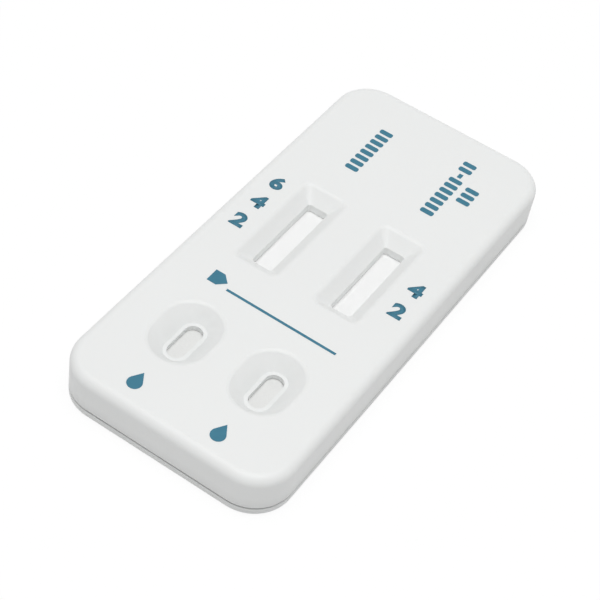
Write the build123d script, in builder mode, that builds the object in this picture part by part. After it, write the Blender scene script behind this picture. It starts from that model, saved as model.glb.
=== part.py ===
from build123d import *
from math import acos, cos, sin
import os

# Lateral flow cassette: two moulded shells pinned together round two test strips.
# The sample wells are at -Y, the label end is at +Y, and the base lies on z = 0.

# Housing
length = 70.0
width = 32.0
height = 6.8
corner_radius = 5.5
seam_height = 1.45
seam_gap = 0.3
seam_gap_depth = 0.6
seam_bevel = 0.1
wall = 1.2
floor_thickness = 1.0
roof_thickness = 1.2
top_edge_radius = 1.3
base_edge_radius = 0.6

# Test strips: a card with a membrane in the middle and pads that lap over each other
strip_pitch = 12.3
strip_width = 4.0
strip_end_space = 3.8
strip_clearance = 0.1
read_depth = 2.9
card_thickness = 0.3
membrane_thickness = 0.15
membrane_length = 25.0
pad_lap = 2.0
lap_ramp = 0.6
lap_gap = 0.1
conjugate_thickness = 0.35
sample_thickness = 0.4
absorbent_thickness = 0.9

# Sample wells: an oval dish that leads down to a slot over the sample pad
well_inset = 13.95
dish_width = 8.2
dish_length = 10.8
dish_rim_radius = 0.7
dish_foot_margin = 0.5
slot_width = 2.5
slot_length = 6.0
slot_depth = 0.7
spout_wall = 0.8
spout_rise = 0.15

# Read windows: a bevelled frame round an oblong hole over the membrane
well_to_window = 23.45
window_width = 3.1
window_length = 13.7
window_corner = 0.45
window_depth = 1.15
bevel_side_run = 1.8
bevel_end_run = 2.0
bevel_corner = 1.0
bevel_rim_radius = 1.0
frame_wall = 1.3
collar_wall = 0.6
collar_rise = 0.55
membrane_gap = 0.08

# Pins of the top shell and sockets of the bottom shell
pins_per_side = 4
middle_pin_pitch = 26.0
middle_pins = 3
pin_diameter = 1.6
pin_clearance = 0.05
pin_end_gap = 0.3
pin_tip_bevel = 0.25
socket_diameter = 3.4
socket_side_space = 1.1
socket_end_space = 2.1
socket_rise = 2.15
socket_lead_in = 0.2
shoulder_diameter = 3.0
shoulder_gap = 0.05

# Strip seats in the bottom shell and pressing bars in the top shell
rail_thickness = 0.8
rib_thickness = 0.8
rib_pitch = 6.0
ribs_per_strip = 9
spine_width = 0.8
bar_thickness = 0.8
bar_side_margin = 0.3
bar_end_margin = 1.6
press_gap = 0.05

# Print on the top face: a writing line with an arrow, two drops and rows of blocks
ink_thickness = 0.03
line_start = -6.4
line_end = 10.2
well_to_line = 8.95
line_width = 0.38
arrow_start = -9.4
arrow_shoulder = -8.0
arrow_tip = -6.9
arrow_height = 2.2
drop_inset = 3.6
drop_radius = 1.0
drop_rise = 1.9
label_height = 2.0
block_length = 0.85
block_step = 1.3
block_corner = 0.3
left_label_x = -6.35
left_label_inset = 12.9
left_label_blocks = 8
right_label_x = 6.1
right_label_inset = 14.0
right_label_blocks = 7
dash_inset = 8.8
dash_width = 0.6
dash_length = 0.9
end_label_inset = 6.7
end_label_blocks = 2
side_label_x = 8.95
side_label_inset = 11.7
side_label_blocks = 3

# Heights of the strip layers, from the depth at which the membrane is read
membrane_top = height - read_depth
card_top = membrane_top - membrane_thickness
card_base = card_top - card_thickness
conjugate_top = card_top + conjugate_thickness
sample_top = card_top + sample_thickness
absorbent_top = card_top + absorbent_thickness

# Wells and windows along the cassette, and the ends of the strip layers below them
well_y = -length / 2 + well_inset
window_y = well_y + well_to_window
strip_length = length - 2 * (wall + strip_end_space)
strip_start = -strip_length / 2
strip_end = strip_length / 2
membrane_start = window_y - membrane_length / 2
membrane_end = window_y + membrane_length / 2
conjugate_start = well_y + dish_length / 2 + lap_gap + lap_ramp
conjugate_end = membrane_start + pad_lap
sample_end = conjugate_start + pad_lap
absorbent_start = membrane_end - pad_lap

# Sizes and places that both shells share
strip_xs = (-strip_pitch / 2, strip_pitch / 2)
channel_width = strip_width + 2 * strip_clearance
channel_length = strip_length + 2 * strip_clearance
roof_base = height - roof_thickness
socket_top = seam_height + socket_rise
pin_spread = width - 2 * (wall + socket_side_space) - socket_diameter
pin_row = length - 2 * (wall + socket_end_space) - socket_diameter
side_pins = GridLocations(pin_spread, pin_row / (pins_per_side - 1), 2, pins_per_side)
middle_row = GridLocations(pin_spread, middle_pin_pitch, 1, middle_pins)
pin_places = side_pins.locations + middle_row.locations

os.makedirs("parts", exist_ok=True)


def strip_grid(y, pitch=strip_pitch, rows=1):
    """Places on the centre lines of both strips, in rows centred on y."""
    grid = GridLocations(strip_pitch, pitch, 2, rows)
    return [Pos(0, y) * place for place in grid.locations]


# Bottom shell: a shallow tray with a rounded foot
with BuildPart() as bottom_shell:
    ledge_height = seam_height - seam_gap
    with BuildSketch():
        RectangleRounded(width, length, corner_radius)
    extrude(amount=ledge_height)
    fillet(bottom_shell.faces().sort_by(Axis.Z)[0].edges(), base_edge_radius)
    chamfer(bottom_shell.faces().sort_by(Axis.Z)[-1].edges(), seam_bevel)

    # Rim that carries the top shell, set back to leave a shadow gap round the seam
    with BuildSketch(Plane.XY.offset(ledge_height)):
        RectangleRounded(
            width - 2 * seam_gap_depth,
            length - 2 * seam_gap_depth,
            corner_radius - seam_gap_depth,
        )
    extrude(amount=seam_gap)
    with BuildSketch(Plane.XY.offset(floor_thickness)):
        RectangleRounded(width - 2 * wall, length - 2 * wall, corner_radius - wall)
    extrude(amount=height, mode=Mode.SUBTRACT)

    # Rails and end stops that hold each strip in its channel
    with BuildSketch(Plane.XY.offset(floor_thickness)):
        with Locations(strip_grid(0)):
            Rectangle(channel_width + 2 * rail_thickness, channel_length + 2 * rail_thickness)
            Rectangle(channel_width, channel_length, mode=Mode.SUBTRACT)
    extrude(amount=membrane_top - floor_thickness)

    # Cross ribs and a spine under each strip
    with BuildSketch(Plane.XY.offset(floor_thickness)):
        with Locations(strip_grid(0, rib_pitch, ribs_per_strip)):
            Rectangle(channel_width, rib_thickness)
        with Locations(strip_grid(0)):
            Rectangle(spine_width, channel_length)
    extrude(amount=card_base - floor_thickness)

    # Sockets with a lead-in for the pins
    with BuildSketch(Plane.XY.offset(floor_thickness)):
        with Locations(pin_places):
            Circle(socket_diameter / 2)
    extrude(amount=socket_top - floor_thickness)
    with Locations([Pos(0, 0, socket_top) * place for place in pin_places]):
        CounterSinkHole(
            radius=pin_diameter / 2 + pin_clearance,
            counter_sink_radius=pin_diameter / 2 + pin_clearance + socket_lead_in,
            depth=socket_top - floor_thickness,
        )

bottom_shell.part.label = "bottom_shell"
export_step(bottom_shell.part, "parts/bottom_shell.step")

# Top shell: a cover with windows, wells, pins and pressing bars
with BuildPart() as top_shell:
    with BuildSketch(Plane.XY.offset(seam_height)):
        RectangleRounded(width, length, corner_radius)
    extrude(amount=height - seam_height)
    fillet(top_shell.faces().sort_by(Axis.Z)[-1].edges(), top_edge_radius)
    chamfer(top_shell.faces().sort_by(Axis.Z)[0].edges(), seam_bevel)
    with BuildSketch(Plane.XY.offset(seam_height)):
        RectangleRounded(width - 2 * wall, length - 2 * wall, corner_radius - wall)
    extrude(amount=roof_base - seam_height, mode=Mode.SUBTRACT)

    # Blocks under the roof that carry the window bevels
    collar_base = membrane_top + membrane_gap
    frame_base = collar_base + collar_rise
    with BuildSketch(Plane.XY.offset(frame_base)):
        with Locations(strip_grid(window_y)):
            Rectangle(window_width + 2 * frame_wall, window_length + 2 * frame_wall)
    extrude(amount=roof_base - frame_base)

    # Collars that reach down to just above the membranes
    with BuildSketch(Plane.XY.offset(collar_base)):
        with Locations(strip_grid(window_y)):
            Rectangle(window_width + 2 * collar_wall, window_length + 2 * collar_wall)
    extrude(amount=roof_base - collar_base)

    # Bowls under the roof that carry the dishes
    spout_base = sample_top + press_gap
    bowl_base = spout_base + spout_rise
    with BuildSketch(Plane.XY.offset(bowl_base)):
        with Locations(strip_grid(well_y)):
            SlotOverall(dish_length, dish_width, rotation=90)
    extrude(amount=roof_base - bowl_base)

    # Spouts that reach down to the sample pads
    with BuildSketch(Plane.XY.offset(spout_base)):
        with Locations(strip_grid(well_y)):
            SlotOverall(slot_length + 2 * spout_wall, slot_width + 2 * spout_wall, rotation=90)
    extrude(amount=roof_base - spout_base)

    # Pressing bars over the laps and the ends of the pads
    for bar_y, pad_top in (
        (strip_start + bar_end_margin, sample_top),
        ((conjugate_start + sample_end) / 2, conjugate_top + sample_thickness),
        ((membrane_start + conjugate_end) / 2, membrane_top + conjugate_thickness),
        ((absorbent_start + membrane_end) / 2, membrane_top + absorbent_thickness),
        ((membrane_end + strip_end) / 2, absorbent_top),
        (strip_end - bar_end_margin, absorbent_top),
    ):
        with BuildSketch(Plane.XY.offset(pad_top + press_gap)):
            with Locations(strip_grid(bar_y)):
                Rectangle(strip_width - 2 * bar_side_margin, bar_thickness)
        extrude(amount=roof_base - pad_top - press_gap)

    # Shoulders above the sockets, and the pins that go into them
    shoulder_base = socket_top + shoulder_gap
    with BuildSketch(Plane.XY.offset(shoulder_base)):
        with Locations(pin_places):
            Circle(shoulder_diameter / 2)
    extrude(amount=roof_base - shoulder_base)
    pin_end = floor_thickness + pin_end_gap
    with BuildSketch(Plane.XY.offset(pin_end)):
        with Locations(pin_places):
            Circle(pin_diameter / 2)
    extrude(amount=shoulder_base - pin_end)
    chamfer(top_shell.faces().group_by(Axis.Z)[0].edges(), pin_tip_bevel)

    bevel_foot = collar_base + window_depth
    dish_foot = spout_base + slot_depth
    foot_width = slot_width + 2 * dish_foot_margin
    foot_length = slot_length + 2 * dish_foot_margin
    for strip_x in strip_xs:
        # Bevelled recess of the read window
        with BuildSketch(Plane.XY.offset(height)):
            with Locations((strip_x, window_y)):
                RectangleRounded(
                    window_width + 2 * bevel_side_run,
                    window_length + 2 * bevel_end_run,
                    bevel_corner,
                )
        with BuildSketch(Plane.XY.offset(bevel_foot)):
            with Locations((strip_x, window_y)):
                RectangleRounded(window_width, window_length, window_corner)
        loft(mode=Mode.SUBTRACT)

        # Dish of the sample well, from its rim down to a foot just wider than the slot
        with BuildSketch(Plane.XY.offset(height)):
            with Locations((strip_x, well_y)):
                SlotOverall(dish_length, dish_width, rotation=90)
        with BuildSketch(Plane.XY.offset(dish_foot)):
            with Locations((strip_x, well_y)):
                SlotOverall(foot_length, foot_width, rotation=90)
        loft(mode=Mode.SUBTRACT)

    # Hole of each window and slot of each well, through to the strip
    with BuildSketch(Plane.XY.offset(collar_base)):
        with Locations(strip_grid(window_y)):
            RectangleRounded(window_width, window_length, window_corner)
    extrude(amount=window_depth, mode=Mode.SUBTRACT)
    with BuildSketch(Plane.XY.offset(spout_base)):
        with Locations(strip_grid(well_y)):
            SlotOverall(slot_length, slot_width, rotation=90)
    extrude(amount=slot_depth, mode=Mode.SUBTRACT)

    # Soft rims where the dishes and the bevels meet the top face
    for row, rim_radius in ((0, dish_rim_radius), (-1, bevel_rim_radius)):
        top_face = top_shell.faces().sort_by(Axis.Z)[-1]
        fillet(top_face.inner_wires().group_by(Axis.Y)[row].edges(), rim_radius)

top_shell.part.label = "top_shell"
export_step(top_shell.part, "parts/top_shell.step")


def pad_outline(start, end, edge, step, thickness, way):
    """Side outline of a pad on the card that steps up over its neighbour's edge.

    way is 1 where the lap is at the +Y end of the pad and -1 where it is at the -Y end.
    """
    foot = edge - way * lap_ramp
    flat_end, lap_end = (start, end) if way > 0 else (end, start)
    lower = [(flat_end, 0), (foot, 0), (edge, step), (lap_end, step)]
    upper = [(y, z + thickness) for y, z in reversed(lower)]
    return [(y, card_top + z) for y, z in lower + upper]


# Two test strips, each with its own card, membrane and pads
for side, strip_x in zip(("left", "right"), strip_xs):
    strip_plane = Plane.YZ.offset(strip_x)

    with BuildPart() as backing_card:
        with BuildSketch(strip_plane):
            with Locations((0, card_base)):
                Rectangle(strip_length, card_thickness, align=(Align.CENTER, Align.MIN))
        extrude(amount=strip_width / 2, both=True)
    backing_card.part.label = side + "_backing_card"
    export_step(backing_card.part, "parts/" + side + "_backing_card.step")

    with BuildPart() as membrane:
        with BuildSketch(strip_plane):
            with Locations((window_y, card_top)):
                Rectangle(membrane_length, membrane_thickness, align=(Align.CENTER, Align.MIN))
        extrude(amount=strip_width / 2, both=True)
    membrane.part.label = side + "_membrane"
    export_step(membrane.part, "parts/" + side + "_membrane.step")

    with BuildPart() as conjugate_pad:
        with BuildSketch(strip_plane):
            outline = pad_outline(
                conjugate_start, conjugate_end, membrane_start, membrane_thickness, conjugate_thickness, 1
            )
            Polygon(*outline, align=None)
        extrude(amount=strip_width / 2, both=True)
    conjugate_pad.part.label = side + "_conjugate_pad"
    export_step(conjugate_pad.part, "parts/" + side + "_conjugate_pad.step")

    with BuildPart() as sample_pad:
        with BuildSketch(strip_plane):
            outline = pad_outline(
                strip_start, sample_end, conjugate_start, conjugate_thickness, sample_thickness, 1
            )
            Polygon(*outline, align=None)
        extrude(amount=strip_width / 2, both=True)
    sample_pad.part.label = side + "_sample_pad"
    export_step(sample_pad.part, "parts/" + side + "_sample_pad.step")

    with BuildPart() as absorbent_pad:
        with BuildSketch(strip_plane):
            outline = pad_outline(
                absorbent_start, strip_end, membrane_end, membrane_thickness, absorbent_thickness, -1
            )
            Polygon(*outline, align=None)
        extrude(amount=strip_width / 2, both=True)
    absorbent_pad.part.label = side + "_absorbent_pad"
    export_step(absorbent_pad.part, "parts/" + side + "_absorbent_pad.step")

# Flat print on the top face, in plain shapes
with BuildPart() as printed_marks:
    line_y = well_y + well_to_line
    with BuildSketch(Plane.XY.offset(height)):
        # Writing line with an arrow that points along it
        with Locations(((line_start + line_end) / 2, line_y)):
            Rectangle(line_end - line_start, line_width)
        with Locations((0, line_y - line_width / 2)):
            Polygon(
                (arrow_start, 0),
                (arrow_shoulder, 0),
                (arrow_tip, arrow_height / 2),
                (arrow_shoulder, arrow_height),
                (arrow_start, arrow_height),
                align=None,
            )

        # A drop in front of each sample well
        drop_turn = acos(drop_radius / drop_rise)
        with Locations(strip_grid(-length / 2 + drop_inset)):
            Circle(drop_radius)
            Polygon(
                (drop_radius * sin(drop_turn), drop_radius * cos(drop_turn)),
                (0, drop_rise),
                (-drop_radius * sin(drop_turn), drop_radius * cos(drop_turn)),
                align=None,
            )

        # Rows of blocks where the strips' labels are
        for label_x, label_inset, blocks in (
            (left_label_x, left_label_inset, left_label_blocks),
            (right_label_x, right_label_inset, right_label_blocks),
            (right_label_x, end_label_inset, end_label_blocks),
            (side_label_x, side_label_inset, side_label_blocks),
        ):
            with Locations((label_x, length / 2 - label_inset)):
                with GridLocations(block_step, block_step, 1, blocks):
                    RectangleRounded(label_height, block_length, block_corner)
        with Locations((right_label_x, length / 2 - dash_inset)):
            Rectangle(dash_width, dash_length)
    extrude(amount=ink_thickness)

printed_marks.part.label = "printed_marks"
export_step(printed_marks.part, "parts/printed_marks.step")
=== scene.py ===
import math

import bpy
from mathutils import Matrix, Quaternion, Vector


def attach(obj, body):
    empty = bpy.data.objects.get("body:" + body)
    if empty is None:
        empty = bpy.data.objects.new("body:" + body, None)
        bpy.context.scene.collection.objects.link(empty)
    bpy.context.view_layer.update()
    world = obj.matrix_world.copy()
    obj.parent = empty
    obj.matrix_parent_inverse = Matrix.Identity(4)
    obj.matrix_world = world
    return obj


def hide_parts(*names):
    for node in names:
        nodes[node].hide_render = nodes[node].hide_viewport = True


# Lateral flow cassette: two white moulded shells round a pair of test strips
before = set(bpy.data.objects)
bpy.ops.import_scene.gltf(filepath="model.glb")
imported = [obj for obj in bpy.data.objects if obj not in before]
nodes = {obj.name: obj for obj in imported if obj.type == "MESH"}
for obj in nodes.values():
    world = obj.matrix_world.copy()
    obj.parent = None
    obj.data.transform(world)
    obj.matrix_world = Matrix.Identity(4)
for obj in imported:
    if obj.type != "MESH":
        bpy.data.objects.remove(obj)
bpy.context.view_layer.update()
mm = 0.001
bpy.ops.object.select_all(action="DESELECT")
print("frame loaded:", len(nodes), "nodes")


# Camera: the photo's own viewpoint, turned to face the cassette
camera = {
    "azimuth": 25.21,  # degrees round from the sample well end
    "elevation": 47.30,
    "distance": 217.1 * mm,
    "roll": 10.73,
    "aim": (0.4 * mm, -4.67 * mm, 3.4 * mm),
    "lens": 98.0,
    "clip": (0.01, 10.0),
}


def buildCamera(s):
    azimuth, elevation = math.radians(s["azimuth"]), math.radians(s["elevation"])
    back = Vector((
        math.sin(azimuth) * math.cos(elevation),
        -math.cos(azimuth) * math.cos(elevation),
        math.sin(elevation),
    ))
    aim = Vector(s["aim"])
    bpy.ops.object.camera_add(location=back * s["distance"])
    cam = bpy.context.object
    cam.name = "camera"
    look = (aim - cam.location).to_track_quat("-Z", "Y")
    cam.rotation_mode = "QUATERNION"
    cam.rotation_quaternion = look @ Quaternion((0, 0, 1), math.radians(s["roll"]))
    cam.data.lens = s["lens"]
    cam.data.clip_start, cam.data.clip_end = s["clip"]
    bpy.context.scene.camera = cam
    return cam


buildCamera(camera)
print("camera placed")


# Node helpers
def add(tree, kind, **values):
    node = tree.nodes.new(kind)
    for name, value in values.items():
        if name in node.inputs:
            node.inputs[name].default_value = value
        else:
            setattr(node, name, value)
    return node


def newGroup(name, inputs, outputs):
    tree = bpy.data.node_groups.new(name, "ShaderNodeTree")
    for socket, kind in inputs:
        tree.interface.new_socket(socket, in_out="INPUT", socket_type=kind)
    for socket, kind in outputs:
        tree.interface.new_socket(socket, in_out="OUTPUT", socket_type=kind)
    return tree, tree.nodes.new("NodeGroupInput"), tree.nodes.new("NodeGroupOutput")


def place(tree, group, vector, **values):
    node = add(tree, "ShaderNodeGroup", node_tree=group)
    tree.links.new(vector, node.inputs["Vector"])
    for name, value in values.items():
        node.inputs[name].default_value = value
    return node


def newMaterial(name):
    mat = bpy.data.materials.new(name)
    mat.use_nodes = True
    tree = mat.node_tree
    coords = add(tree, "ShaderNodeTexCoord")
    return mat, tree, tree.nodes["Principled BSDF"], coords.outputs["Object"]


def mixColours(tree, mask, low, high):
    mix = add(tree, "ShaderNodeMix", data_type="RGBA")
    mix.inputs["A"].default_value = (*low, 1)
    mix.inputs["B"].default_value = (*high, 1)
    tree.links.new(mask, mix.inputs["Factor"])
    return mix.outputs["Result"]


def spread(tree, mask, low, high):
    band = add(tree, "ShaderNodeMapRange")
    band.inputs["To Min"].default_value = low
    band.inputs["To Max"].default_value = high
    tree.links.new(mask, band.inputs["Value"])
    return band.outputs["Result"]


def bumpFrom(tree, height, shader, strength, distance):
    bump = add(tree, "ShaderNodeBump", Strength=strength, Distance=distance)
    tree.links.new(height, bump.inputs["Height"])
    tree.links.new(bump.outputs["Normal"], shader.inputs["Normal"])


# Light that goes a little way into a pale material
def glowInside(shader, weight, radius, depth):
    shader.inputs["Subsurface Weight"].default_value = weight
    shader.inputs["Subsurface Radius"].default_value = radius
    shader.inputs["Subsurface Scale"].default_value = depth


# Satin grain of a spark eroded mould, with a slow cloud for uneven gloss
mouldTexture = {
    "fine": {"Detail": 3.0, "Roughness": 0.6},
    "cloud": {"Detail": 2.0, "Roughness": 0.5},
    "pits": 0.6,  # height of the pits against the fine noise
}


def makeMouldGrain(s):
    tree, start, end = newGroup(
        "mouldGrain",
        [("Vector", "NodeSocketVector"), ("Grain", "NodeSocketFloat"), ("Cloud", "NodeSocketFloat")],
        [("Height", "NodeSocketFloat"), ("Cloud", "NodeSocketFloat")],
    )
    pits = add(tree, "ShaderNodeTexVoronoi", feature="SMOOTH_F1")
    fine = add(tree, "ShaderNodeTexNoise", **s["fine"])
    cloud = add(tree, "ShaderNodeTexNoise", **s["cloud"])
    height = add(tree, "ShaderNodeMath", operation="MULTIPLY_ADD")
    height.inputs[1].default_value = s["pits"]
    for texture in (pits, fine, cloud):
        tree.links.new(start.outputs["Vector"], texture.inputs["Vector"])
    tree.links.new(start.outputs["Grain"], pits.inputs["Scale"])
    tree.links.new(start.outputs["Grain"], fine.inputs["Scale"])
    tree.links.new(start.outputs["Cloud"], cloud.inputs["Scale"])
    tree.links.new(pits.outputs["Distance"], height.inputs[0])
    tree.links.new(fine.outputs["Fac"], height.inputs[2])
    tree.links.new(height.outputs["Value"], end.inputs["Height"])
    tree.links.new(cloud.outputs["Fac"], end.inputs["Cloud"])
    return tree


# Matted fibres: two stretched noises that cross, over a soft cloud
fibreTexture = {
    "turns": (0.5, -0.7),
    "strands": {"Detail": 4.0, "Roughness": 0.65, "Distortion": 0.8},
    "cloud": {"Scale": 700.0, "Detail": 2.0},
}


def makeFibreMat(s):
    tree, start, end = newGroup(
        "fibreMat",
        [("Vector", "NodeSocketVector"), ("Scale", "NodeSocketFloat"), ("Stretch", "NodeSocketFloat")],
        [("Height", "NodeSocketFloat"), ("Cloud", "NodeSocketFloat")],
    )
    heights = []
    for turn in s["turns"]:
        turned = add(tree, "ShaderNodeVectorRotate", rotation_type="Z_AXIS", Angle=turn)
        pull = add(tree, "ShaderNodeCombineXYZ", X=1.0, Z=1.0)
        squeeze = add(tree, "ShaderNodeVectorMath", operation="MULTIPLY")
        strands = add(tree, "ShaderNodeTexNoise", **s["strands"])
        tree.links.new(start.outputs["Vector"], turned.inputs["Vector"])
        tree.links.new(start.outputs["Stretch"], pull.inputs["Y"])
        tree.links.new(turned.outputs["Vector"], squeeze.inputs[0])
        tree.links.new(pull.outputs["Vector"], squeeze.inputs[1])
        tree.links.new(squeeze.outputs["Vector"], strands.inputs["Vector"])
        tree.links.new(start.outputs["Scale"], strands.inputs["Scale"])
        heights.append(strands.outputs["Fac"])
    top = add(tree, "ShaderNodeMath", operation="MAXIMUM")
    cloud = add(tree, "ShaderNodeTexNoise", **s["cloud"])
    tree.links.new(heights[0], top.inputs[0])
    tree.links.new(heights[1], top.inputs[1])
    tree.links.new(start.outputs["Vector"], cloud.inputs["Vector"])
    tree.links.new(top.outputs["Value"], end.inputs["Height"])
    tree.links.new(cloud.outputs["Fac"], end.inputs["Cloud"])
    return tree


mouldGrain = makeMouldGrain(mouldTexture)
fibreMat = makeFibreMat(fibreTexture)


# White polystyrene of the two shells
plastic = {
    "pale": (0.827, 0.836, 0.830),
    "deep": (0.807, 0.817, 0.812),
    "gloss": (0.40, 0.50),
    "grain": 5200.0,  # cells to a metre, about 0.2 mm each
    "cloud": 55.0,
    "bump": 0.12,
    "depth": 0.02 * mm,
    "glow": (0.15, (1.0, 0.95, 0.9), 0.4 * mm),
    "paintedFootShade": (0.90, 0.90, 0.90),  # painted shade, darker towards the base
    "paintedFootRise": (1.0 * mm, 3.4 * mm),
    "paintedSlotShade": (0.935, 0.94, 0.94),  # and painted shade round the slots, darker in and round the wells
    "paintedSlotReach": (1.5 * mm, 3.9 * mm),
    "slotSquash": 0.72,
    "wellPlace": (6.15 * mm, -21.05 * mm),  # centre of the right well
}
unshaded = (1, 1, 1)


# Paint shade into a colour: multiply it by a shade that fades out over a span of the value
def paintShade(tree, colour, value, shade, span):
    fade = add(tree, "ShaderNodeMapRange", interpolation_type="SMOOTHSTEP")
    fade.inputs["From Min"].default_value = span[0]
    fade.inputs["From Max"].default_value = span[1]
    product = add(tree, "ShaderNodeMix", data_type="RGBA", blend_type="MULTIPLY")
    product.inputs["Factor"].default_value = 1
    tree.links.new(value, fade.inputs["Value"])
    tree.links.new(colour, product.inputs["A"])
    tree.links.new(mixColours(tree, fade.outputs["Result"], shade, unshaded), product.inputs["B"])
    return product.outputs["Result"]


# Distance from the nearer well's centre line, squashed along the slot, which places the painted shade
# round the slots
def wellDistance(tree, split, s):
    side = add(tree, "ShaderNodeMath", operation="ABSOLUTE")
    across = add(tree, "ShaderNodeMath", operation="SUBTRACT")
    across.inputs[1].default_value = s["wellPlace"][0]
    along = add(tree, "ShaderNodeMath", operation="SUBTRACT")
    along.inputs[1].default_value = s["wellPlace"][1]
    squash = add(tree, "ShaderNodeMath", operation="MULTIPLY")
    squash.inputs[1].default_value = s["slotSquash"]
    flat = add(tree, "ShaderNodeCombineXYZ")
    length = add(tree, "ShaderNodeVectorMath", operation="LENGTH")
    tree.links.new(split.outputs["X"], side.inputs[0])
    tree.links.new(side.outputs["Value"], across.inputs[0])
    tree.links.new(split.outputs["Y"], along.inputs[0])
    tree.links.new(along.outputs["Value"], squash.inputs[0])
    tree.links.new(across.outputs["Value"], flat.inputs["X"])
    tree.links.new(squash.outputs["Value"], flat.inputs["Y"])
    tree.links.new(flat.outputs["Vector"], length.inputs[0])
    return length.outputs["Value"]


def makePlastic(s):
    mat, tree, shader, coords = newMaterial("whitePlastic")
    grain = place(tree, mouldGrain, coords, Grain=s["grain"], Cloud=s["cloud"])
    split = add(tree, "ShaderNodeSeparateXYZ")
    tree.links.new(coords, split.inputs["Vector"])
    colour = mixColours(tree, grain.outputs["Cloud"], s["deep"], s["pale"])
    # Painted shade, darker towards the base
    colour = paintShade(tree, colour, split.outputs["Z"], s["paintedFootShade"], s["paintedFootRise"])
    # Painted shade in and round the well slots
    colour = paintShade(tree, colour, wellDistance(tree, split, s), s["paintedSlotShade"], s["paintedSlotReach"])
    tree.links.new(colour, shader.inputs["Base Color"])
    tree.links.new(spread(tree, grain.outputs["Height"], *s["gloss"]), shader.inputs["Roughness"])
    glowInside(shader, *s["glow"])
    bumpFrom(tree, grain.outputs["Height"], shader, s["bump"], s["depth"])
    return mat


# Pad printed ink: nearly flat colour with a faint pick-up mottle
ink = {
    "thin": (0.030, 0.182, 0.270),
    "full": (0.018, 0.142, 0.220),
    "gloss": (0.38, 0.52),
    "grain": 3800.0,
    "cloud": 900.0,
    "bump": 0.15,
    "depth": 0.01 * mm,
}


def makeInk(s):
    mat, tree, shader, coords = newMaterial("tealInk")
    grain = place(tree, mouldGrain, coords, Grain=s["grain"], Cloud=s["cloud"])
    colour = mixColours(tree, grain.outputs["Cloud"], s["full"], s["thin"])
    tree.links.new(colour, shader.inputs["Base Color"])
    tree.links.new(spread(tree, grain.outputs["Height"], *s["gloss"]), shader.inputs["Roughness"])
    bumpFrom(tree, grain.outputs["Height"], shader, s["bump"], s["depth"])
    return mat


# Fibre pads, the membrane and the card all use the fibre mat with their own values
sheetFinishes = {
    "samplePad": {
        "colours": ((0.69, 0.695, 0.685), (0.80, 0.805, 0.795)),
        "glow": 0.1,
        "gloss": (0.8, 0.95),
        "scale": 6500.0,
        "stretch": 0.16,
        "bump": 0.6,
        "depth": 0.05 * mm,
    },
    "conjugatePad": {
        "colours": ((0.66, 0.40, 0.42), (0.82, 0.60, 0.60)),
        "glow": 0.1,
        "gloss": (0.8, 0.95),
        "scale": 9000.0,
        "stretch": 0.10,
        "bump": 0.5,
        "depth": 0.03 * mm,
    },
    "membrane": {
        "colours": ((0.925, 0.935, 0.93), (0.955, 0.96, 0.955)),
        "glow": 0.5,
        "gloss": (0.72, 0.85),
        "scale": 9000.0,
        "stretch": 0.6,
        "bump": 0.15,
        "depth": 0.02 * mm,
    },
    "card": {
        "colours": ((0.86, 0.86, 0.86), (0.90, 0.90, 0.895)),
        "glow": 0.0,
        "gloss": (0.22, 0.32),
        "scale": 1500.0,
        "stretch": 0.5,
        "bump": 0.05,
        "depth": 0.02 * mm,
    },
}
sheetGlow = {"radius": (1.0, 1.0, 1.0), "depth": 0.4 * mm}


def makeSheetFinish(name, s):
    mat, tree, shader, coords = newMaterial(name)
    fibres = place(tree, fibreMat, coords, Scale=s["scale"], Stretch=s["stretch"])
    colour = mixColours(tree, fibres.outputs["Height"], *s["colours"])
    tree.links.new(colour, shader.inputs["Base Color"])
    tree.links.new(spread(tree, fibres.outputs["Cloud"], *s["gloss"]), shader.inputs["Roughness"])
    glowInside(shader, s["glow"], **sheetGlow)
    bumpFrom(tree, fibres.outputs["Height"], shader, s["bump"], s["depth"])
    return mat


whitePlastic = makePlastic(plastic)
tealInk = makeInk(ink)
sheetMaterials = {name: makeSheetFinish(name, s) for name, s in sheetFinishes.items()}
print("materials made")


# The CAD nodes that stay get their finishes in their own slots
def dress(nodeName, mat):
    for slot in nodes[nodeName].material_slots:
        slot.material = mat


for shell in ("top_shell", "bottom_shell"):
    dress(shell, whitePlastic)
dress("printed_marks", tealInk)
for side in ("left", "right"):
    dress(side + "_backing_card", sheetMaterials["card"])
    dress(side + "_membrane", sheetMaterials["membrane"])
print("CAD nodes dressed")


# Soft pads: the CAD outline, remeshed fine, with rounded edges and a felted surface
softPads = {
    "sample_pad": {
        "finish": "samplePad",
        "slot": "pad",
        "voxel": 0.11 * mm,
        "felt": 0.035 * mm,
        "clump": 0.45 * mm,
    },
    "absorbent_pad": {
        "finish": "samplePad",
        "slot": "pad",
        "voxel": 0.16 * mm,
        "felt": 0.04 * mm,
        "clump": 0.7 * mm,
    },
    "conjugate_pad": {
        "finish": "conjugatePad",
        "slot": "conjugate",
        "voxel": 0.10 * mm,
        "felt": 0.02 * mm,
        "clump": 0.3 * mm,
    },
}
padShape = {
    "gap": 0.03 * mm,
    "fill": 0.9,
    "weld": 0.001 * mm,
    "flat": math.radians(1),
    "rounding": {"factor": 0.5, "iterations": 4},
}


def onlySelect(piece):
    bpy.ops.object.select_all(action="DESELECT")
    piece.select_set(True)
    bpy.context.view_layer.objects.active = piece


def applyModifier(piece, name, kind, **values):
    modifier = piece.modifiers.new(name, kind)
    for key, value in values.items():
        setattr(modifier, key, value)
    onlySelect(piece)
    bpy.ops.object.modifier_apply(modifier=modifier.name)


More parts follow.
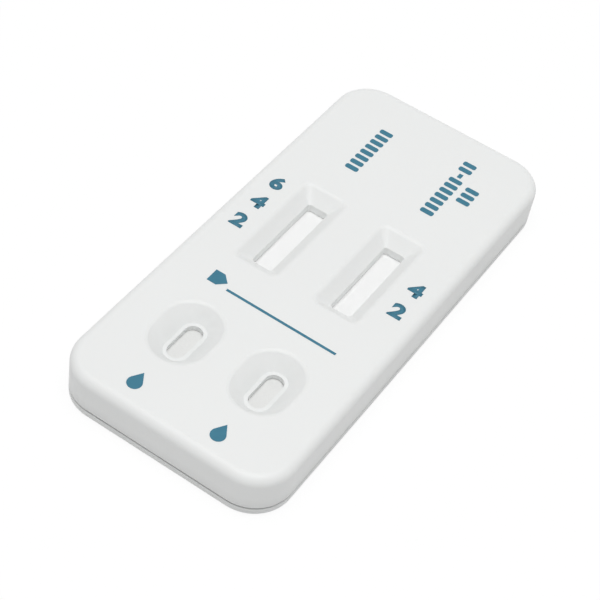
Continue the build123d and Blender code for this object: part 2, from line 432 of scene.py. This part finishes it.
def buildPad(nodeName, s, shape):
    pad = bpy.data.objects.new("soft_" + nodeName, nodes[nodeName].data.copy())
    bpy.context.scene.collection.objects.link(pad)
    onlySelect(pad)
    bpy.ops.object.mode_set(mode="EDIT")
    bpy.ops.mesh.select_all(action="SELECT")
    bpy.ops.mesh.remove_doubles(threshold=shape["weld"])
    bpy.ops.mesh.dissolve_limited(angle_limit=shape["flat"])
    bpy.ops.transform.shrink_fatten(value=-shape["gap"] - s["felt"] / 2)
    bpy.ops.object.mode_set(mode="OBJECT")
    applyModifier(pad, "fine", "REMESH", mode="VOXEL", voxel_size=s["voxel"])
    applyModifier(pad, "round", "SMOOTH", **shape["rounding"])
    clumps = bpy.data.textures.new("clumps_" + nodeName, "CLOUDS")
    clumps.noise_scale = s["clump"]
    applyModifier(pad, "felt", "DISPLACE", texture=clumps, strength=s["felt"])
    bpy.ops.object.shade_smooth()
    pad.data.materials.clear()
    pad.data.materials.append(sheetMaterials[s["finish"]])
    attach(pad, "root")
    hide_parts(nodeName)
    return pad


for side in ("left", "right"):
    for kind, settings in softPads.items():
        pad = buildPad(side + "_" + kind, settings, padShape)
        print(pad.name, len(pad.data.polygons), "faces")


# Plain digits beside the windows, printed in the same ink
digits = {
    "height": 2.6 * mm,
    "stretch": 1.15,
    "weight": 0.05,
    "curve": 6,
    "weld": 0.0005,  # in the font's own units
    "top": 6.8 * mm,
    "film": 0.03 * mm,
    "left": {"x": -12.35 * mm, "rows": (("2", -0.85 * mm), ("4", 3.65 * mm), ("6", 8.15 * mm))},
    "right": {"x": 12.45 * mm, "rows": (("2", -0.9 * mm), ("4", 3.7 * mm))},
}


def buildDigit(body, x, y, s):
    bpy.ops.object.text_add()
    text = bpy.context.object
    text.data.body = body
    text.data.offset = s["weight"]
    text.data.resolution_u = s["curve"]
    onlySelect(text)
    bpy.ops.object.convert(target="MESH")
    digit = bpy.context.object
    bpy.ops.object.mode_set(mode="EDIT")
    bpy.ops.mesh.select_all(action="SELECT")
    bpy.ops.mesh.remove_doubles(threshold=s["weld"])
    bpy.ops.mesh.extrude_region_move(TRANSFORM_OT_translate={"value": (0, 0, 1)})
    bpy.ops.object.mode_set(mode="OBJECT")
    corners = [vertex.co for vertex in digit.data.vertices]
    low = Vector(min(c[i] for c in corners) for i in range(3))
    high = Vector(max(c[i] for c in corners) for i in range(3))
    scale = s["height"] / (high.y - low.y)
    for vertex in digit.data.vertices:
        vertex.co.x = x + (vertex.co.x - (low.x + high.x) / 2) * scale * s["stretch"]
        vertex.co.y = y + (vertex.co.y - (low.y + high.y) / 2) * scale
        vertex.co.z = s["top"] + vertex.co.z * s["film"]
    return digit


def buildDigits(name, s, column):
    made = [buildDigit(body, column["x"], y, s) for body, y in column["rows"]]
    onlySelect(made[0])
    for digit in made:
        digit.select_set(True)
    bpy.ops.object.join()
    piece = bpy.context.object
    piece.name = name
    bpy.ops.object.mode_set(mode="EDIT")
    bpy.ops.mesh.select_all(action="SELECT")
    bpy.ops.mesh.normals_make_consistent(inside=False)
    bpy.ops.object.mode_set(mode="OBJECT")
    piece.data.materials.clear()
    piece.data.materials.append(tealInk)
    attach(piece, "root")
    return piece


buildDigits("left_window_digits", digits, digits["left"])
buildDigits("right_window_digits", digits, digits["right"])
print("digits printed")


# Floor, world and lamps: plain soft studio light on a white ground
studio = {
    "floorSize": 4.0,
    "floorColour": (0.8, 0.8, 0.8, 1),
    "floorWhite": 0.88,  # share of plain white the camera sees in the floor
    "floorGlow": 1.03,
    "white": (1, 1, 1, 1),
    "sky": 0.46,
    "keyPlace": (0.03, -0.08, 0.9),
    "keySize": 0.7,
    "keyPower": 5.0,
}


# The share for what the camera sees, also in gloss, and none for the light's own bounces
def seenDirectly(tree, share):
    path = add(tree, "ShaderNodeLightPath")
    total = None
    for ray in ("Is Camera Ray", "Is Glossy Ray", "Is Transmission Ray"):
        if total is None:
            total = path.outputs[ray]
            continue
        pick = add(tree, "ShaderNodeMath", operation="MAXIMUM")
        tree.links.new(total, pick.inputs[0])
        tree.links.new(path.outputs[ray], pick.inputs[1])
        total = pick.outputs["Value"]
    scaled = add(tree, "ShaderNodeMath", operation="MULTIPLY")
    scaled.inputs[1].default_value = share
    tree.links.new(total, scaled.inputs[0])
    return scaled.outputs["Value"]


def buildFloor(s):
    bpy.ops.mesh.primitive_plane_add(size=s["floorSize"])
    floor = bpy.context.object
    floor.name = "floor"
    mat = bpy.data.materials.new("paleFloor")
    mat.use_nodes = True
    tree = mat.node_tree
    tree.nodes.clear()
    paint = add(tree, "ShaderNodeBsdfDiffuse", Color=s["floorColour"])
    white = add(tree, "ShaderNodeEmission", Strength=s["floorGlow"])
    mix = add(tree, "ShaderNodeMixShader")
    out = add(tree, "ShaderNodeOutputMaterial")
    tree.links.new(seenDirectly(tree, s["floorWhite"]), mix.inputs["Fac"])
    tree.links.new(paint.outputs["BSDF"], mix.inputs[1])
    tree.links.new(white.outputs["Emission"], mix.inputs[2])
    tree.links.new(mix.outputs["Shader"], out.inputs["Surface"])
    floor.data.materials.append(mat)
    return floor


def buildWorld(s):
    world = bpy.data.worlds.new("paleWorld")
    bpy.context.scene.world = world
    world.use_nodes = True
    tree = world.node_tree
    tree.nodes.clear()
    sky = add(tree, "ShaderNodeBackground", Strength=s["sky"])
    sky.inputs["Color"].default_value = s["white"]
    white = add(tree, "ShaderNodeBackground", Strength=1.0)
    white.inputs["Color"].default_value = s["white"]
    mix = add(tree, "ShaderNodeMixShader")
    out = add(tree, "ShaderNodeOutputWorld")
    tree.links.new(seenDirectly(tree, 1.0), mix.inputs["Fac"])
    tree.links.new(sky.outputs["Background"], mix.inputs[1])
    tree.links.new(white.outputs["Background"], mix.inputs[2])
    tree.links.new(mix.outputs["Shader"], out.inputs["Surface"])


def buildKey(s):
    bpy.ops.object.light_add(type="AREA", location=s["keyPlace"])
    key = bpy.context.object
    key.name = "softbox"
    key.data.shape = "DISK"
    key.data.size = s["keySize"]
    key.data.energy = s["keyPower"]
    key.rotation_euler = (-Vector(s["keyPlace"])).to_track_quat("-Z", "Y").to_euler()


buildFloor(studio)
buildWorld(studio)
buildKey(studio)
bpy.context.scene.view_settings.view_transform = "Standard"
print("studio lit")
